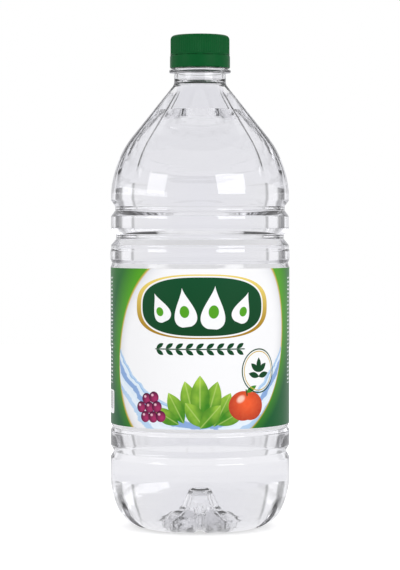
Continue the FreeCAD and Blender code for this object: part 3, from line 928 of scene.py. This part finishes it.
class BOTTLE_OT_cap(bpy.types.Operator):
    """Model the screw cap with its fine knurls and plain rim"""

    bl_idname = "vinegar_bottle.cap"
    bl_label = "Screw cap"

    def execute(self, context):
        sizes = context.scene.bottle_sizes
        corners = cap_corners(sizes)
        obj = outline(corners)
        round_corners(obj, corners, arc=0.2)
        lathe(obj, 6 * sizes.knurls)
        bpy.ops.object.mode_set(mode="OBJECT")
        press_in(obj, "knurls", sizes.knurl_depth, knurl_share(sizes))
        bpy.ops.object.mode_set(mode="EDIT")
        done(obj, "screw_cap", 40.0, cap_material("cap_plastic", context.scene.bottle_colours.cap))
        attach(obj, "root")
        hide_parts("cap")
        return {"FINISHED"}


class BOTTLE_OT_band(bpy.types.Operator):
    """Model the tamper band with its hooked lip and the small bridges that tie it to the cap"""

    bl_idname = "vinegar_bottle.band"
    bl_label = "Tamper band"

    def execute(self, context):
        sizes = context.scene.bottle_sizes
        foot = BAND[0].z
        top = CAP[0].z - sizes.slit
        bore, hook = sizes.neck_r + 1.0 * MM, sizes.neck_r + 0.15 * MM
        hook_top, web = foot + 1.4 * MM, bore + 0.8 * MM
        bridge_edge = 0.42
        corners = [(bore, hook_top, 0.0), (hook, hook_top, 0.2 * MM), (hook, foot, 0.2 * MM),
                   (BAND_R, foot, 0.8 * MM), (BAND_R, top, 0.5 * MM), (web, top, 0.0), (bore, top, 0.0),
                   (bore, hook_top, 0.0)]
        obj = outline(corners)
        round_corners(obj, corners, arc=0.25)
        lathe(obj, 360)
        bpy.ops.mesh.select_mode(type="FACE")

        def tied(face):
            centre = face.calc_center_median()
            bridge = math.cos(sizes.bridges * math.atan2(centre.y, centre.x)) > bridge_edge
            return face.normal.z > 0.99 and centre.z > top - TINY and (centre.xy.length < web or bridge)

        pick(obj, "faces", tied)
        bpy.ops.mesh.extrude_region_move(TRANSFORM_OT_translate={"value": (0, 0, sizes.slit)})
        bpy.ops.mesh.select_mode(type="VERT")
        done(obj, "tamper_band_ring", 40.0, cap_material("band_plastic", context.scene.bottle_colours.cap))
        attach(obj, "root")
        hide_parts("tamper_band")
        return {"FINISHED"}


class BOTTLE_OT_label(bpy.types.Operator):
    """Model the wrapped label with its overlap at the back, and print it"""

    bl_idname = "vinegar_bottle.label"
    bl_label = "Label"

    def execute(self, context):
        colours = context.scene.bottle_colours
        film, lap_gap, seat = 0.06 * MM, 0.066 * MM, LABEL_R - 0.13 * MM
        lap, slices = 9, 300
        obj = outline([(seat, LABEL[0].z, 0), (seat, LABEL[1].z, 0)])
        bpy.ops.mesh.select_all(action="SELECT")
        bpy.ops.mesh.spin(steps=slices + lap, angle=2 * math.pi * (slices + lap) / slices, center=(0, 0, 0),
                          axis=(0, 0, 1))
        pick(obj, "verts", lambda v: v.index >= 2 * slices - 4)
        lift = 1 + lap_gap / seat
        bpy.ops.transform.resize(value=(lift, lift, 1), center_override=(0, 0, 0))
        face_outward()
        mesh = bmesh.from_edit_mesh(obj.data)
        if sum(face.normal.dot(face.calc_center_median()) for face in mesh.faces) < 0:
            bpy.ops.mesh.flip_normals()
        bpy.ops.object.mode_set(mode="OBJECT")
        apply_modifier(obj, "SOLIDIFY", thickness=film, offset=1.0)
        obj.rotation_euler.z = math.pi / 2
        bpy.ops.object.transform_apply(location=False, rotation=True, scale=False)
        obj.data.materials.append(label_material(colours, (LABEL[0].z + LABEL[1].z) / 2))
        obj.data.materials.append(painted_glow_backing_material(colours.paper))
        bpy.ops.object.mode_set(mode="EDIT")
        bpy.ops.mesh.select_mode(type="FACE")
        pick(obj, "faces", lambda f: f.normal.xy.dot(f.calc_center_median().xy) < -0.5 * LABEL_R)
        obj.active_material_index = 1
        bpy.ops.object.material_slot_assign()
        done(obj, "label_wrap", 30.0)
        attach(obj, "root")
        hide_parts("label")
        return {"FINISHED"}


# ---- Stage -----------------------------------------------------------------------------------------

# The studio as clear things show it: degrees from straight behind the bottle, and brightness there
FLAGS = ((26, 0.82), (27, 0.4), (28, 0.4), (29, 0.95), (37, 0.95), (40, 0.22), (49, 0.22), (53, 0.9))


def studio_world():
    """A white studio: plain white to the camera, pale grey with dark flags where clear things show it."""
    world = bpy.data.worlds.new("studio")
    bpy.context.scene.world = world
    world.use_nodes = True
    sky = Nodes(world.node_tree)
    background = sky.tree.nodes["Background"]
    split = sky.node("ShaderNodeSeparateXYZ")
    sky.tree.links.new(sky.node("ShaderNodeTexCoord").outputs["Generated"], split.inputs[0])
    x, y, z = split.outputs
    ramp = sky.node("ShaderNodeValToRGB")
    sky.feed(ramp.inputs[0], sky.maths("DIVIDE", sky.size(sky.maths("ARCTAN2", x, y)), math.pi))
    elements = ramp.color_ramp.elements
    elements[0].color = (0.79, 0.79, 0.83, 1)
    elements[1].color = (0.95, 0.95, 0.97, 1)
    for angle, level in FLAGS:
        elements.new(angle / 180).color = (level, level, level * 1.02, 1)
    steep = sky.maths("MAXIMUM", sky.minus(sky.size(z), 0.2), 0.0)
    above = sky.maths("SMOOTH_MIN", sky.times(steep, 4.0), 1.0)
    overhead = sky.blend(sky.maths("GREATER_THAN", z, 0.8), (0.9, 0.9, 0.92), (0.6, 0.6, 0.62))
    path, seen = sky.seen_in_clear()
    lit = sky.blend(seen, (0.86, 0.86, 0.87), sky.blend(above, ramp.outputs[0], overhead))
    sky.feed(background.inputs[0], sky.blend(path.outputs["Is Camera Ray"], lit, (1, 1, 1)))
    background.inputs[1].default_value = 1.0


def soft_light(name, place, aim, width, height, power):
    """A rectangular lamp that faces the aim point."""
    lamp = bpy.data.lights.new(name, "AREA")
    lamp.shape = "RECTANGLE"
    lamp.size, lamp.size_y = width, height
    lamp.energy = power
    obj = bpy.data.objects.new(name, lamp)
    bpy.context.scene.collection.objects.link(obj)
    obj.location = place
    obj.rotation_euler = (Vector(aim) - Vector(place)).to_track_quat("-Z", "Y").to_euler()


def floor_material():
    """A white floor that keeps the bottle's soft shadow; as clear things show it, it glows with a painted
    shadow under the base and painted light that fades away from the bottle.
    """
    shader = Shader("white_floor")
    speckle = shader.noise(40.0, detail=3.0)
    shader.tint(speckle, (0.88, 0.88, 0.89), (0.92, 0.92, 0.93))
    shader.set(Roughness=0.9)
    path, seen = shader.seen_in_clear()
    glow = shader.node("ShaderNodeEmission")
    shader.feed(glow.inputs[1], shader.times(path.outputs["Is Camera Ray"], 0.55))
    # Painted shadow and painted light on the floor as clear things show it: darker within 22 mm of the axis
    # under the base, and brightest near the bottle, growing darker from 0.12 m to 0.6 m away.
    plain = shader.node("ShaderNodeEmission")
    x, y, _ = shader.place()
    away = shader.maths("SQRT", shader.plus(shader.times(x, x), shader.times(y, y)))
    far = shader.blend(shader.range(away, 0.12, 0.6), (0.94, 0.94, 0.96), (0.82, 0.82, 0.85))
    shader.feed(plain.inputs[0], shader.blend(shader.range(away, 0.022, 0.034), (0.8, 0.8, 0.83), far))
    lit = shader.node("ShaderNodeAddShader")
    shader.tree.links.new(shader.surface.outputs[0], lit.inputs[0])
    shader.tree.links.new(glow.outputs[0], lit.inputs[1])
    mix = shader.node("ShaderNodeMixShader")
    shader.feed(mix.inputs[0], seen)
    shader.tree.links.new(lit.outputs[0], mix.inputs[1])
    shader.tree.links.new(plain.outputs[0], mix.inputs[2])
    shader.tree.links.new(mix.outputs[0], shader.output.inputs[0])
    return shader.material


class BOTTLE_OT_stage(bpy.types.Operator):
    """Set up the floor, the white studio, the lamps and the camera"""

    bl_idname = "vinegar_bottle.stage"
    bl_label = "Stage"

    def execute(self, context):
        floor = fresh(bpy.ops.mesh.primitive_plane_add, size=4.0, location=(0, 0, -0.0002))
        done(floor, "floor", 30.0, floor_material())
        studio_world()
        middle = (0, 0, 0.15)
        soft_light("key_right", (0.6, -0.7, 0.46), middle, width=0.62, height=0.42, power=1.7)
        soft_light("key_left", (-0.8, -0.5, 0.46), middle, width=0.45, height=0.4, power=0.9)
        camera = bpy.data.cameras.new("camera")
        camera.sensor_width = 36.0
        camera.lens = 139.96
        obj = bpy.data.objects.new("camera", camera)
        context.scene.collection.objects.link(obj)
        distance, height, tilt = 1.325, 0.1795, math.radians(1.525)
        obj.location = (0.0, -distance, height)
        obj.rotation_euler = (math.pi / 2 - tilt, 0, 0)
        context.scene.camera = obj
        context.scene.view_settings.view_transform = "Standard"
        bounces = 40    # light passes many walls of clear plastic on its way through the bottle
        context.scene.cycles.max_bounces = bounces
        context.scene.cycles.transmission_bounces = bounces
        return {"FINISHED"}


class BOTTLE_PT_panel(bpy.types.Panel):
    """Lists the steps that build the bottle"""

    bl_label = "Vinegar Bottle"
    bl_idname = "BOTTLE_PT_panel"
    bl_space_type = "VIEW_3D"
    bl_region_type = "UI"
    bl_category = "Bottle"

    def draw(self, context):
        for operator in OPERATORS:
            self.layout.operator(operator.bl_idname)
        for group in (context.scene.bottle_sizes, context.scene.bottle_colours):
            box = self.layout.box()
            for key in group.__annotations__:
                box.prop(group, key)


OPERATORS = (BOTTLE_OT_wall, BOTTLE_OT_vinegar, BOTTLE_OT_cap, BOTTLE_OT_band, BOTTLE_OT_label,
             BOTTLE_OT_stage)
CLASSES = (BottleSizes, BottleColours, *OPERATORS, BOTTLE_PT_panel)


def register():
    for item in CLASSES:
        bpy.utils.register_class(item)
    bpy.types.Scene.bottle_sizes = PointerProperty(type=BottleSizes)
    bpy.types.Scene.bottle_colours = PointerProperty(type=BottleColours)


def unregister():
    del bpy.types.Scene.bottle_colours
    del bpy.types.Scene.bottle_sizes
    for item in reversed(CLASSES):
        bpy.utils.unregister_class(item)


def main():
    register()
    bpy.ops.vinegar_bottle.wall()
    bpy.ops.vinegar_bottle.vinegar()
    bpy.ops.vinegar_bottle.cap()
    bpy.ops.vinegar_bottle.band()
    bpy.ops.vinegar_bottle.label()
    bpy.ops.vinegar_bottle.stage()


if __name__ == "__main__":
    main()
